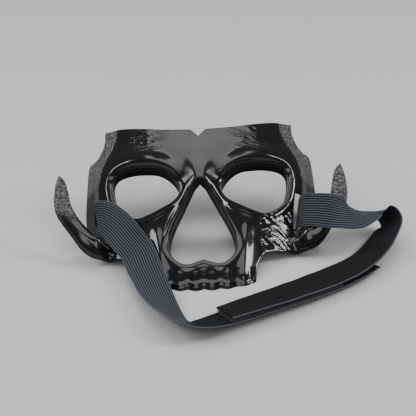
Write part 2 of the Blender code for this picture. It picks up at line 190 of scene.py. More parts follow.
# Straps, one row for each station: centre x, y, z and the direction across the strap, in world axes
RIGHT_FREE = (
    (71.4, 68.6, 13.3, 0.16, 0.86, 0.49),
    (71.4, 67.2, 16.0, 0.16, 0.86, 0.49),
    (72.2, 65.2, 19.2, 0.12, 0.86, 0.49),
    (74.6, 60.8, 23.4, 0.00, 0.88, 0.47),
    (78.3, 52.6, 29.0, 0.01, 0.90, 0.44),
    (83.8, 47.8, 31.7, 0.04, 0.78, 0.62),
    (91.0, 44.0, 33.0, 0.05, 0.72, 0.69),
    (100.3, 39.4, 33.2, 0.03, 0.89, 0.45),
    (108.0, 41.3, 30.5, -0.30, 0.86, 0.40),
    (115.0, 49.0, 25.8, -0.58, 0.80, 0.06),
    (121.8, 58.2, 20.4, -0.60, 0.74, -0.30),
    (128.2, 61.6, 18.2, -0.46, 0.70, -0.55),
    (133.9, 61.6, 16.0, -0.46, 0.62, -0.64),
    (137.2, 57.2, 13.8, -0.57, 0.57, -0.60),
    (136.6, 51.8, 11.6, -0.64, 0.54, -0.54),
    (131.3, 43.0, 9.2, -0.68, 0.60, -0.42),
    (122.3, 28.2, 7.9, -0.66, 0.68, -0.33),
    (108.0, 13.0, 7.1, -0.55, 0.80, -0.22),
)
LEFT_FREE = (
    (-74.6, 70.6, 13.4, -0.28, 0.84, 0.48),
    (-74.8, 68.8, 16.2, -0.28, 0.84, 0.48),
    (-75.8, 66.0, 19.8, -0.24, 0.84, 0.48),
    (-76.6, 62.8, 23.0, -0.16, 0.86, 0.50),
    (-73.8, 60.4, 25.4, 0.00, 0.84, 0.54),
    (-68.2, 55.4, 26.2, 0.20, 0.76, 0.59),
    (-61.2, 46.6, 25.4, 0.42, 0.66, 0.60),
    (-54.6, 36.6, 22.6, 0.56, 0.62, 0.53),
    (-46.6, 26.6, 16.6, 0.66, 0.64, 0.38),
    (-42.2, 14.4, 12.9, 0.70, 0.68, 0.20),
    (-38.4, 3.4, 10.4, 0.70, 0.71, 0.00),
    (-34.3, -9.4, 8.8, 0.63, 0.76, -0.14),
    (-30.0, -21.4, 8.4, 0.50, 0.81, -0.30),
    (-24.4, -33.6, 8.6, 0.33, 0.83, -0.46),
    (-17.8, -43.0, 8.8, 0.10, 0.83, -0.54),
    (-9.6, -47.6, 8.0, -0.12, 0.86, -0.50),
    (0.6, -45.6, 6.3, -0.28, 0.88, -0.38),
)
# Where the straps lie on each other: the left strap's rows, from the right strap's free end outwards
OVERLAP = (
    (13.4, -39.4, 4.9, -0.37, 0.89, -0.27),
    (30.0, -31.0, 4.2, -0.35, 0.91, -0.24),
    (48.0, -22.2, 3.7, -0.34, 0.92, -0.20),
    (70.1, -11.2, 3.3, -0.34, 0.92, -0.17),
    (90.4, 0.0, 3.0, -0.42, 0.89, -0.15),
    (106.0, 10.6, 2.9, -0.52, 0.83, -0.15),
    (116.4, 20.4, 2.9, -0.58, 0.80, -0.15),
)
SHARED_ROWS = 5
# Where each strap turns black as pile: millimetres along it from its slot, and on which of its faces
LEFT_PILE = (142.0, 1.0)
RIGHT_PILE = (126.0, -1.0)
PILE_FADE = 10.0

# Largest rounding of an edge as a share of the wall there; it bulges past the edge, so slots get little
RIM_ROUNDING = 0.3
SLOT_ROUNDING = 0.06

# Wall that turns in round an eye or nose hole: how far in, and how far down as a share of its depth
TURNED_WALL = ((0.25, 0.01), (0.6, 0.04), (0.9, 0.09), (1.15, 0.18), (1.4, 0.32), (1.7, 0.5),
               (2.05, 0.7), (2.35, 0.88), (2.5, 0.96), (2.35, 1.01), (1.9, 1.04), (1.2, 1.05), (0.6, 1.03))
TURNED_REACH = 2.5

# One thread of each tape: how far along it, how high above the middle of the woven ground
LOOP_THREAD = ((-0.35, 0.1), (-0.3, 0.55), (0.0, 0.85), (0.3, 0.55), (0.35, 0.1))
HOOK_THREAD = ((0.0, 0.1), (0.0, 0.45), (0.1, 0.72), (0.3, 0.8), (0.42, 0.62))

# Soft lights: name, place, point aimed at, width and height, watts
LIGHTS = (
    ("overhead", (0.0, 0.32, 1.1), (0.0, 0.319, 0.0), (0.8, 1.5), 10.0),
    ("left_side", (-0.85, 0.15, 0.7), (0.0, 0.05, 0.03), (0.45, 0.5), 7.0),
    ("right_side", (0.9, 0.0, 0.75), (0.0, 0.05, 0.03), (0.28, 0.5), 8.0),
    ("front", (0.0, -1.0, 0.9), (0.0, 0.0, 0.03), (1.0, 0.5), 5.0),
)
ROOM_COLOR = (0.8, 0.82, 0.86, 1.0)
ROOM_STRENGTH = 0.2
FLOOR_REACH = 4.0
FLOOR_HEIGHT = -0.0002

CAMERA_PLACE = (0.005, -0.67615, 0.5055)
CAMERA_DOWN = math.radians(33.0)
CAMERA_ROLL = math.radians(2.5)
CAMERA_LENS = 103.85
CAMERA_SENSOR = 36.0


def read_rows(at, table, column, spread=4.0):
    """A table's column at a place, averaged over a few millimetres so that it bends smoothly."""
    keys = [row[0] for row in table]
    values = [row[column] for row in table]
    total = 0.0
    for offset, weight in ((-1.0, 0.15), (-0.5, 0.2), (0.0, 0.3), (0.5, 0.2), (1.0, 0.15)):
        total = total + weight * np.interp(at + offset * spread, keys, values)
    return total


def smooth_step(value):
    """Rises from 0 to 1 with level ends: 3 t squared less 2 t cubed."""
    t = np.clip(value, 0.0, 1.0)
    return t * t * (3.0 - 2.0 * t)


def rising(value, start, width):
    """0 up to the start, 1 from a width past it, and smooth between."""
    return smooth_step((value - start) / width)


def falling(value, end, width):
    """1 up to a width before the end, 0 past it, and smooth between."""
    return smooth_step((end - value) / width)


def hump(value, middle, half_width):
    """A smooth hill of height 1 at the middle: e to the minus square of the distance in half widths."""
    return np.exp(-((value - middle) / half_width) ** 2)


def unevenness(x, v, length, seed):
    """A smooth uneven field near -1 to 1: eight waves of about one length, in seeded directions, summed."""
    draw = random.Random(seed)
    total = 0.0
    for _ in range(8):
        angle = draw.uniform(0.0, math.pi)
        reach = length * draw.uniform(0.7, 1.4)
        phase = draw.uniform(0.0, 2.0 * math.pi)
        ahead = x * math.cos(angle) + v * math.sin(angle)
        total = total + np.sin(ahead * 2.0 * math.pi / reach + phase)
    return total / 3.0


def horn_share(x, v):
    """1 on the cheek's arch end, 0 on the face and its side wall, with a soft change at the cheek."""
    a = np.abs(x)
    gap_up = np.interp(a, [row[0] for row in GAP], [row[1] for row in GAP])
    reach = 1.5 + 6.5 * (1.0 - rising(a, 62.0, 14.0))
    below = smooth_step((gap_up - v + reach) / (2.0 * reach))
    below = np.where(a > HORN_FROM, 1.0, below)
    return below * rising(a, CHEEK_FROM, 18.0)


def relief(x, v):
    """Depth of the outer surface: a bent base, a nose ridge, brows, side walls and the arch ends."""
    a = np.abs(x)
    crease = read_rows(v, FACE, CREASE)
    ridge = read_rows(v, FACE, RIDGE) * np.exp(-(a / read_rows(v, FACE, RIDGE_HALF)) ** 2.5)
    across = np.minimum(a, crease + 4.0) / crease
    w = read_rows(v, FACE, BASE) + ridge - read_rows(v, FACE, CURVE) * across ** 2.3
    past = np.clip((a - crease) / CREASE_SOFT, -30.0, 30.0)
    w = w - read_rows(v, FACE, SLOPE) * CREASE_SOFT * np.log1p(np.exp(past))
    brow_up = read_rows(a, BROW, 1, 3.0)
    brow_side = np.where(v < brow_up, BROW_BELOW, BROW_ABOVE)
    w = w + read_rows(a, BROW, 2, 3.0) * np.exp(-((v - brow_up) / brow_side) ** 2)
    share = horn_share(x, v)
    return w * (1.0 - share) + read_rows(v, HORN, 1) * share


def curve_through(points, step, closed=False):
    """A smooth curve through a few named points, read at an even step."""
    p = np.array(points, float)
    if closed:
        p = np.vstack([p[-2:], p, p[:2]])
    else:
        p = np.vstack([2 * p[0] - p[1], p, 2 * p[-1] - p[-2]])
    t = np.linspace(0.0, 1.0, 40, endpoint=False)[:, None]
    last = len(p) - 2 - (1 if closed else 0)
    spans = [0.5 * (2 * p[i] + (p[i + 1] - p[i - 1]) * t
                    + (2 * p[i - 1] - 5 * p[i] + 4 * p[i + 1] - p[i + 2]) * t ** 2
                    + (3 * p[i] - p[i - 1] - 3 * p[i + 1] + p[i + 2]) * t ** 3) for i in range(1, last)]
    out = np.vstack(spans)
    out = np.vstack([out, out[0] if closed else p[last]])
    along = np.concatenate([[0.0], np.cumsum(np.linalg.norm(np.diff(out, axis=0), axis=1))])
    count = max(2, int(round(along[-1] / step)) + 1)
    at = np.linspace(0.0, along[-1], count)
    read = np.stack([np.interp(at, along, out[:, k]) for k in range(p.shape[1])], axis=1)
    return read[:-1] if closed else read


def mirrored(half):
    """A closed loop from its right half, which runs from the middle line to the middle line."""
    left = half[1:-1][::-1] * np.array([-1.0, 1.0])
    return np.vstack([half, left])


def outer_outline():
    """The mask's edge, from the middle of the teeth round the right side, and its mirror image."""
    across = np.arange(0.0, TEETH_HALF + 0.01, TOOTH_PITCH / 16.0)
    notch = np.abs(np.cos(math.pi * across / TOOTH_PITCH)) ** 3
    teeth = np.stack([across, TOOTH_NOTCH * notch], axis=1)
    runs = [teeth[:-1]]
    for run in (CHEEK_RUN, HOOK_RUN, LOW_RUN, SIDE_RUN, TEMPLE_RUN, TOP_RUN):
        runs.append(curve_through(run, EDGE_STEP)[:-1])
    runs.insert(5, curve_through((SIDE_RUN[-1], TEMPLE_RUN[0]), EDGE_STEP)[:-1])
    runs.append(curve_through((TOP_RUN[-1], NOTCH_APEX), EDGE_STEP))
    return mirrored(np.vstack(runs))


def loops():
    """The outline and the holes cut in it: points and the depth of the wall that turns inward."""
    eye = curve_through(EYE, EDGE_STEP, closed=True)
    nose = mirrored(curve_through(NOSE, EDGE_STEP))
    slot = np.vstack([curve_through(pair, EDGE_STEP)[:-1] for pair in zip(SLOT, SLOT[1:] + SLOT[:1])])
    flip = np.array([-1.0, 1.0])
    return [
        (outer_outline(), 0.0),
        (eye, EYE_WALL),
        (eye[::-1] * flip, EYE_WALL),
        (nose, NOSE_WALL),
        (slot, 0.0),
        (slot[::-1] * flip, 0.0),
    ]


def inside(points, loop):
    """Which points a closed loop holds, by counting the edges that a level ray crosses."""
    held = np.zeros(len(points), bool)
    for (x1, y1), (x2, y2) in zip(loop, np.roll(loop, -1, axis=0)):
        spans = (y1 > points[:, 1]) != (y2 > points[:, 1])
        cross = x1 + (points[:, 1] - y1) * (x2 - x1) / (y2 - y1 if y2 != y1 else 1e-9)
        held ^= spans & (points[:, 0] < cross)
    return held


def nearest(points, loop):
    """Distance from each point to a closed loop, and the nearest place on it."""
    best = np.full(len(points), 1e9)
    place = np.zeros_like(points)
    for start, end in zip(loop, np.roll(loop, -1, axis=0)):
        run = end - start
        t = np.clip(((points - start) @ run) / max(run @ run, 1e-12), 0.0, 1.0)
        foot = start + t[:, None] * run
        d = np.linalg.norm(points - foot, axis=1)
        closer = d < best
        best[closer] = d[closer]
        place[closer] = foot[closer]
    return best, place


def hole_side(loop):
    """At each point of a loop, the direction into the hole that it bounds."""
    tangent = np.roll(loop, -1, axis=0) - np.roll(loop, 1, axis=0)
    side = np.stack([-tangent[:, 1], tangent[:, 0]], axis=1)
    side /= np.linalg.norm(side, axis=1)[:, None]
    probe = inside(loop + 0.1 * side, loop)
    side[~probe] *= -1.0
    return side


def room_for(loop, side, radius):
    """The rounding that fits at each point of a loop: less than the bend's radius where it turns inward."""
    before = loop - np.roll(loop, 1, axis=0)
    after = np.roll(loop, -1, axis=0) - loop
    bend = np.sum((after / np.linalg.norm(after, axis=1)[:, None]
                   - before / np.linalg.norm(before, axis=1)[:, None]) * side, axis=1)
    step = 0.5 * (np.linalg.norm(after, axis=1) + np.linalg.norm(before, axis=1))
    fit = np.where(bend > 0.05, np.minimum(radius, 0.5 * step / np.maximum(bend, 0.05)), radius)
    for _ in range(2):
        fit = np.minimum(fit, 0.5 * fit + 0.5 * np.minimum(np.roll(fit, 1), np.roll(fit, -1)))
    return fit


def to_world(places):
    """Face axes in millimetres to world metres: the face plane leans back by FACE_LEAN."""
    x, v, w = places.T
    y = v * math.cos(FACE_LEAN) - w * math.sin(FACE_LEAN) - REST_BACK
    z = v * math.sin(FACE_LEAN) + w * math.cos(FACE_LEAN) - SINK
    return np.stack([x, y, z], axis=1) * MM


def fill(all_loops, grid_step):
    """Triangles that fill the outline round its holes, with a grid of points inside."""
    flat = np.vstack([loop for loop, _ in all_loops])
    edges = []
    start = 0
    for loop, _ in all_loops:
        count = len(loop)
        edges += [(start + i, start + (i + 1) % count) for i in range(count)]
        start += count
    xs, vs = np.meshgrid(np.arange(-108.0, 108.1, grid_step), np.arange(-1.0, 146.0, grid_step))
    xs = xs + np.where((np.arange(xs.shape[0]) % 2 == 1)[:, None], grid_step / 2.0, 0.0)
    grid = np.stack([xs.ravel(), vs.ravel()], axis=1)
    grid = grid[inside(grid, all_loops[0][0])]
    for index, (loop, _) in enumerate(all_loops):
        if index > 0:
            grid = grid[~inside(grid, loop)]
        grid = grid[nearest(grid, loop)[0] > min(grid_step, EDGE_STEP) * 0.55]
    points = np.vstack([flat, grid])
    result = delaunay_2d_cdt(points.tolist(), edges, [], 0, 1e-6)
    points = np.array([tuple(p) for p in result[0]])
    triangles = np.array(result[2])
    middle = points[triangles].mean(axis=1)
    filled = inside(middle, all_loops[0][0])
    for loop, _ in all_loops[1:]:
        filled &= ~inside(middle, loop)
    return points, triangles[filled]


def outward_normal(x, v):
    """The direction out of the surface; on the arch ends it is straight out of the face plane."""
    step = 0.5
    share = horn_share(x, v)
    slope_x = (relief(x + step, v) - relief(x - step, v)) / (2 * step)
    slope_v = (relief(x, v + step) - relief(x, v - step)) / (2 * step)
    normal = np.stack([-slope_x, -slope_v, np.ones(len(x))], axis=1)
    normal /= np.linalg.norm(normal, axis=1)[:, None]
    normal = normal * (1.0 - share[:, None]) + np.array([0.0, 0.0, 1.0]) * share[:, None]
    return normal / np.linalg.norm(normal, axis=1)[:, None]


def cracked_share(x, v):
    """1 where the forehead's upper corners are cracked, falling off towards the smooth middle."""
    return hump(np.abs(x), 40.0, 13.0) * rising(v, 110.0, 8.0) * falling(v, 140.0, 6.0)


def cheek_share(x, v):
    """1 on the cheek below the eye hole, where the moulding is hewn in facets."""
    a = np.abs(x)
    return rising(a, 38.0, 8.0) * falling(v, 66.0, 8.0) * (1.0 - rising(a, 92.0, 10.0))


def carved(x, v, edge, eye_edge, nose_edge):
    """Low relief: waves in the forehead, tooth roots, columns, rolled rims, a lip, dents and facets."""
    a = np.abs(x)
    face = 1.0 - horn_share(x, v)
    bent_up = v + 2.5 * np.sin(x / 15.0)
    forehead = rising(v, 104.0, 10.0) * hump(a, 10.0, 32.0)
    waves = WAVE_HEIGHT * np.sin(bent_up * 2.0 * math.pi / 8.5) * forehead
    tooth_row = falling(v, 19.0, 9.0) * falling(a, 37.0, 4.0)
    roots = -ROOT_HEIGHT * np.cos(2.0 * math.pi * x / TOOTH_PITCH) * tooth_row
    beside_nose = rising(v, 4.0, 8.0) * falling(v, 56.0, 12.0)
    column = COLUMN_HEIGHT * hump(a, 30.5 + 0.12 * (v - 30.0), 3.2) * beside_nose
    eye_rim = EYE_RIM_HEIGHT * hump(eye_edge, 3.0, 2.0)
    nose_rim = NOSE_RIM_HEIGHT * hump(nose_edge, 2.0, 1.4)
    scallop = 2.4 + 1.6 * np.abs(np.cos(math.pi * x / TOOTH_PITCH)) ** 3
    lip = LIP_HEIGHT * hump(v, scallop + 2.0, 1.1) * falling(a, TEETH_HALF + 0.5, 2.0)
    chips = CRACK_HEIGHT * cracked_share(x, v) * unevenness(x, 2.6 * v, 7.0, 8)
    dents = DENT_HEIGHT * unevenness(x, v, 15.0, 3) + chips
    facets = FACET_DEPTH * cheek_share(x, v) * np.abs(unevenness(x + 0.7 * v, 0.5 * v, 13.0, 12))
    raised = waves + roots + column + eye_rim + nose_rim + lip
    return raised * face + (dents - facets) * smooth_step(edge / 3.0)


def edge_rings(rim, side, normal, thick, radius):
    """Rings of a rounded edge: a quarter circle out from the front rim, then one back to the back rim."""
    out = np.hstack([side, np.zeros((len(side), 1))])
    out = out - normal * np.sum(out * normal, axis=1)[:, None]
    out /= np.linalg.norm(out, axis=1)[:, None]
    swings = [math.radians(turn) for turn in (25.0, 50.0, 75.0)]
    shallow = [(swing, radius * (1.0 - math.cos(swing))) for swing in swings]
    deep = [(swing, thick - down) for swing, down in reversed(shallow)]
    return [rim + out * radius * math.sin(swing) - normal * down for swing, down in shallow + deep]


def material_layers(x, v, eye_edge, share):
    """The values that the plastic's material reads: how stippled, streaked, cracked or dull a point is."""
    a = np.abs(x)
    crease = read_rows(v, FACE, CREASE)
    # The stipple, and with it the temples' grey, thins to six tenths from about 125 mm up the face down to
    # 100 mm, so the temples are darker towards the bottom
    temple = rising(a, crease - 0.5, 1.5) * rising(v, 88.0, 7.0) * (0.6 + 0.4 * rising(v, 100.0, 25.0))
    tip = share * rising(v, 56.0, 18.0)
    brow = 0.5 * hump(eye_edge, 3.0, 2.5) * rising(v, 86.0, 6.0)
    hewn = np.maximum(np.maximum(cheek_share(x, v), brow), 0.35 * falling(v, 22.0, 6.0))
    low_wall = 0.85 * rising(a, crease + 1.0, 3.0) * falling(v, 97.0, 8.0) * (1.0 - share)
    brow_corner = 0.75 * hump(a, 9.5, 4.5) * hump(v, 91.5, 6.5)
    return {
        "stipple": np.maximum(temple * (1.0 - share), tip),
        "streak": hewn * (1.0 - share),
        "crack": cracked_share(x, v),
        "wall": np.maximum(low_wall, brow_corner),
    }


def face_places(points, all_loops):
    """Outer and inner surface places for sheet points, and the values that the material reads."""
    x, v = points[:, 0], points[:, 1]
    share = horn_share(x, v)
    normal = outward_normal(x, v)
    distances = [nearest(points, loop) for loop, _ in all_loops]
    edge = distances[0][0]
    eye_edge = np.minimum(distances[1][0], distances[2][0])
    nose_edge = distances[3][0]
    slot_edge = np.minimum(distances[4][0], distances[5][0])
    from_middle = 1.0 - np.minimum(edge, HORN_HALF_WIDTH) / HORN_HALF_WIDTH
    round_part = np.sqrt(np.clip(1.0 - from_middle ** 2, 0, 1))
    thick = WALL * (1.0 - share) + (HORN_EDGE + 2.0 * HORN_BULGE * round_part) * share
    front = np.stack([x, v, relief(x, v) + HORN_BULGE * round_part * share], axis=1)
    back = front - normal * thick[:, None]
    for k, (loop, depth) in enumerate(all_loops):
        if depth == 0.0:
            continue
        here, foot = distances[k]
        others = np.min([d for j, (d, _) in enumerate(distances) if j != k], axis=0)
        away = points - foot
        away /= np.maximum(np.linalg.norm(away, axis=1), 1e-6)[:, None]
        start = sum(len(other) for other, _ in all_loops[:k])
        away[start:start + len(loop)] = -hole_side(loop)
        back[:, :2] += away * (WALL * others / (here + others + 1e-6))[:, None]
    # The relief fades out beside the slots, so that the straps stay clear of it
    bare = np.where(v < 70.0, rising(slot_edge, 0.5, 3.5), 1.0)
    front = front + normal * (carved(x, v, edge, eye_edge, nose_edge) * bare)[:, None]
    return front, back, normal, thick, material_layers(x, v, eye_edge, share)


def turned_rings(rim, side, loop, depth):
    """Rings of a wall that turns into a hole: the rim moved in and down by each row of TURNED_WALL."""
    fit = room_for(loop, side, TURNED_REACH)[:, None] / TURNED_REACH
    rings = []
    for inward, down in TURNED_WALL:
        ring = rim.copy()
        ring[:, :2] += side * inward * fit
        ring[:, 2] -= depth * down
        rings.append(ring)
    return rings


def skull_face(settings):
    """One hollow moulding: a fine outer sheet, a plain inner one, and rings that join them at the edges."""
    all_loops = loops()
    rounding = settings.edge_rounding / MM
    points, triangles = fill(all_loops, FRONT_GRID)
    front, _, normal, thick, layers = face_places(points, all_loops)
    inner_points, inner_triangles = fill(all_loops, BACK_GRID)
    inner = face_places(inner_points, all_loops)[1]
    places = [front, inner]
    values = {key: [layers[key], np.full(len(inner), float(key == "wall"))] for key in layers}
    faces = triangles.tolist() + (inner_triangles[:, ::-1] + len(front)).tolist()
    start = 0
    total = len(front) + len(inner)
    for index, (loop, depth) in enumerate(all_loops):
        size = len(loop)
        here = slice(start, start + size)
        rim = front[here]
        side = hole_side(loop) if index > 0 else -hole_side(loop)
        if depth > 0.0:
            rings = turned_rings(rim, side, loop, depth)
        else:
            most = (SLOT_ROUNDING if index > 0 else RIM_ROUNDING) * thick[here]
            radius = np.minimum(room_for(loop, side, rounding), most)[:, None]
            rings = edge_rings(rim, side, normal[here], thick[here][:, None], radius)
        numbers = [np.arange(start, start + size)]
        for turn, ring in enumerate(rings):
            places.append(ring)
            numbers.append(np.arange(total, total + size))
            total += size
            # From the third ring to the sixth, every look but the dull wall fades out
            deep = min(1.0, max(0.0, (turn - 2) / 3.0))
            for key in values:
                values[key].append(layers[key][here] * (1.0 - deep) + (deep if key == "wall" else 0.0))
        numbers.append(np.arange(start, start + size) + len(front))
        for upper, lower in zip(numbers, numbers[1:]):
            band = np.stack([upper, lower, np.roll(lower, -1), np.roll(upper, -1)], axis=1)
            faces += band.tolist()
        start += size
    places = to_world(np.vstack(places))
    return places, faces, {key: np.concatenate(parts) for key, parts in values.items()}


def make_piece(name, places, faces, material, layers, nodes):
    """A piece from its places in metres and its faces, riding on the body and standing for its solids."""
    mesh = bpy.data.meshes.new(name)
    mesh.from_pydata(places.tolist(), [], faces)
    for key, values in layers.items():
        layer = mesh.attributes.new(key, "FLOAT", "POINT")
        layer.data.foreach_set("value", np.asarray(values, np.float32))
    mesh.materials.append(material)
    mesh.shade_smooth()
    piece = bpy.data.objects.new(name, mesh)
    bpy.context.collection.objects.link(piece)
    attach(piece, "root")
    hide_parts(*nodes)
    return piece


def turn_outwards(piece, ground=False):
    """Points every face away from the inside, and where asked cuts the piece level with the ground."""
    work = bmesh.new()
    work.from_mesh(piece.data)
    if ground:
        everything = work.verts[:] + work.edges[:] + work.faces[:]
        cut = bmesh.ops.bisect_plane(work, geom=everything, dist=1e-7, plane_co=(0.0, 0.0, 0.0),
                                     plane_no=(0.0, 0.0, -1.0), clear_outer=True)
        edges = [item for item in cut["geom_cut"] if isinstance(item, bmesh.types.BMEdge)]
        flat = bmesh.ops.triangle_fill(work, edges=edges, use_beauty=True)
        for item in flat["geom"]:
            if isinstance(item, bmesh.types.BMFace):
                item.smooth = False
    bmesh.ops.recalc_face_normals(work, faces=work.faces)
    if work.calc_volume(signed=True) < 0.0:
        bmesh.ops.reverse_faces(work, faces=work.faces)
    work.to_mesh(piece.data)
    work.free()


def band_axes(rows):
    """For rows along a band: their centres, and the unit directions across it and out of it."""
    table = np.array(rows, float)
    centre = table[:, :3]
    along = np.gradient(centre, axis=0)
    along /= np.linalg.norm(along, axis=1)[:, None]
    across = table[:, 3:6]
    across = across - along * np.sum(across * along, axis=1)[:, None]
    across /= np.linalg.norm(across, axis=1)[:, None]
    return centre, across, np.cross(along, across)


def lifted(rows, height):
    """The same rows moved out of the band by a height."""
    centre, across, out = band_axes(rows)
    return np.hstack([centre + out * height, across])


def elastic_profile(width, thick, ribs, rib_depth):
    """Section of elastic with ribs on both faces and plain rolled edges: across, height, crest, edge."""
    per_rib = 8
    margin = 1.0
    shoulder = 0.25
    a = np.linspace(-width / 2.0 + margin, width / 2.0 - margin, ribs * per_rib + 1)
    phase = (a + width / 2.0 - margin) / ((width - 2.0 * margin) / ribs)
    crest = np.sqrt(np.abs(np.sin(math.pi * phase)))
    height = thick / 2.0 - rib_depth * (1.0 - crest)
    turn = np.radians(np.linspace(75.0, -75.0, 7))
    edge_a = width / 2.0 - margin + shoulder + (margin - shoulder) * np.cos(turn)
    edge_h = (thick / 2.0 - 0.05) * np.sin(turn)
    zero, one = np.zeros(len(a)), np.ones(len(turn))
    section_a = np.concatenate([a, edge_a, a[::-1], -edge_a])
    section_h = np.concatenate([height, edge_h, -height[::-1], -edge_h])
    section_crest = np.concatenate([crest, one, crest[::-1], one])
    section_edge = np.concatenate([zero, one, zero, one])
    return section_a, section_h, section_crest, section_edge


def stations_along(rows, step):
    """Centres at an even step along rows, moved with the face, and the ways across and out of the band."""
    centre, across, out = band_axes(curve_through(rows, step))
    return centre - np.array([0.0, REST_BACK, 0.0]), across, out


def carried(rows, step, section_a, section_h):
    """A closed section carried along rows and capped at both ends: places, faces, length along, way out."""
    centre, across, out = stations_along(rows, step)
    stations, size = len(centre), len(section_a)
    places = (centre[:, None, :] + across[:, None, :] * section_a[None, :, None]
              + out[:, None, :] * section_h[None, :, None])
    along = np.concatenate([[0.0], np.cumsum(np.linalg.norm(np.diff(centre, axis=0), axis=1))])
    first = np.arange(stations - 1)[:, None] * size + np.arange(size)[None, :]
    after = np.arange(stations - 1)[:, None] * size + np.roll(np.arange(size), -1)[None, :]
    quads = np.stack([first, after, after + size, first + size], axis=2).reshape(-1, 4)
    faces = quads.tolist()
    faces.append(list(range(size))[::-1])
    faces.append(list(range((stations - 1) * size, stations * size)))
    return places, faces, along, out


def strap(name, node, rows, settings, material, seed, pile):
    """A ribbed elastic strap: its section carried along its rows, a little uneven as elastic lies."""
    pile_from, pile_side = pile
    width, rib_depth = settings.strap_width / MM, settings.rib_depth / MM
    section_a, section_h, crest, edge = elastic_profile(width, STRAP_THICK, settings.strap_ribs, rib_depth)
    places, faces, along, out = carried(rows, STRAP_STEP, section_a, section_h)
    # The unevenness starts past the face, so that the strap stays clear of the moulding
    clear = rising(along, 70.0, 20.0)
    lie = STRAP_LIE * unevenness(along[:, None], section_a[None, :], STRAP_LIE_WAVE, seed) * clear[:, None]
    places = places + out[:, None, :] * lie[:, :, None]
    stations = len(along)
    layers = {
        # The crest layer leads the painted shade in the rib valleys
        "crest": np.tile(crest, stations),
        # The edge layer marks the rolled edges, where the painted highlight goes
        "edge": np.tile(edge, stations),
        "face": np.tile((section_h > 0).astype(float), stations),
        "piled": np.outer(rising(along, pile_from, PILE_FADE), section_h * pile_side > 0).ravel(),
        "along": np.repeat(along * MM, len(section_a)),
    }
    turn_outwards(make_piece(name, places.reshape(-1, 3) * MM, faces, material, layers, [node]))


def little_arches(centre, across, out, spots, path, radius):
    """Many small bent threads on a band: a triangular section carried along one path at every spot."""
    s, a, swing = spots
    steps = np.arange(len(centre), dtype=float)

    def read(table):
        return np.stack([np.interp(s, steps, table[:, k]) for k in range(3)], axis=1)

    base = read(centre) + read(across) * a[:, None]
    up = read(out)
    along = np.gradient(centre, axis=0)
    along = read(along / np.linalg.norm(along, axis=1)[:, None])
    lead = along * np.cos(swing)[:, None] + read(across) * np.sin(swing)[:, None]
    beside = np.cross(up, lead)
    reach, height = np.array(path).T
    spine = (base[:, None, :] + lead[:, None, :] * reach[None, :, None]
             + up[:, None, :] * height[None, :, None])
    slope = np.gradient(np.array(path), axis=0)
    slope /= np.linalg.norm(slope, axis=1)[:, None]
    normal = lead[:, None, :] * -slope[None, :, 1, None] + up[:, None, :] * slope[None, :, 0, None]
    ring = np.radians([90.0, 210.0, 330.0])
    places = (spine[:, :, None, :] + normal[:, :, None, :] * (np.sin(ring) * radius)[None, None, :, None]
              + beside[:, None, None, :] * (np.cos(ring) * radius)[None, None, :, None])
    count, rows = len(s), len(path)
    start = np.arange(count)[:, None, None] * rows * 3 + np.arange(rows - 1)[None, :, None] * 3
    corner = np.arange(3)[None, None, :]
    after = (corner + 1) % 3
    quads = np.stack([start + corner, start + after, start + after + 3, start + corner + 3], axis=3)
    quads = quads.reshape(-1, 4)
    low = np.arange(count)[:, None] * rows * 3 + np.array([2, 1, 0])[None, :]
    high = np.arange(count)[:, None] * rows * 3 + (rows - 1) * 3 + np.array([0, 1, 2])[None, :]
    return places.reshape(-1, 3), quads.tolist() + low.tolist() + high.tolist()


def tape(name, node, rows, side, path, radius, pitch, material, slot, seed):
    """One half of the closure: a thin woven ground against its strap, and threads that stand up from it."""
    half = TAPE_WIDTH / 2.0
    sunk = side * (TAPE_THICK / 2.0 - TAPE_GROUND)
    turn = np.radians(np.linspace(90.0, -90.0, 5))
    edge_a = half - TAPE_GROUND + TAPE_GROUND * np.cos(turn)
    edge_h = TAPE_GROUND * np.sin(turn)
    flat = np.linspace(-half + TAPE_GROUND, half - TAPE_GROUND, 25)[1:-1]
    level = np.full(len(flat), TAPE_GROUND)
    section_a = np.concatenate([flat, edge_a, flat[::-1], -edge_a])
    section_h = np.concatenate([level, edge_h, -level, -edge_h]) - sunk
    places, faces, along, _ = carried(rows, TAPE_STEP, section_a, section_h)
    centre, across, out = stations_along(rows, TAPE_STEP)
    spots_s, spots_a = np.meshgrid(np.arange(TAPE_MARGIN, along[-1] - TAPE_MARGIN, pitch),
                                   np.arange(-half + TAPE_MARGIN, half - TAPE_MARGIN + 0.1, pitch))
    draw = np.random.default_rng(seed)
    loose = slot == "loop_pile"
    jitter = draw.uniform(-0.3, 0.3, (2,) + spots_s.shape) * (pitch if loose else 0.2 * pitch)
    swing = draw.uniform(-0.6, 0.6, spots_s.shape) if loose else 0.05 * jitter[0]
    stations = (spots_s + jitter[0]) / along[-1] * (len(centre) - 1)
    spots = (stations.ravel(), (spots_a + jitter[1]).ravel(), swing.ravel())
    rise = np.array(path) * np.array([1.0, side]) - np.array([0.0, sunk])
    threads, thread_faces = little_arches(centre, across, out, spots, rise, radius)
    ground_places = places.reshape(-1, 3)
    count = len(ground_places)
    faces += [[corner + count for corner in face] for face in thread_faces]
    layers = {
        "thread": np.concatenate([np.zeros(count), np.ones(len(threads))]),
        "along": np.concatenate([np.repeat(along * MM, len(section_a)), np.zeros(len(threads))]),
        "across": np.concatenate([np.tile(section_a * MM, len(along)), np.zeros(len(threads))]),
    }
    everything = np.vstack([ground_places, threads]) * MM
    turn_outwards(make_piece(name, everything, faces, material, layers, [node]))


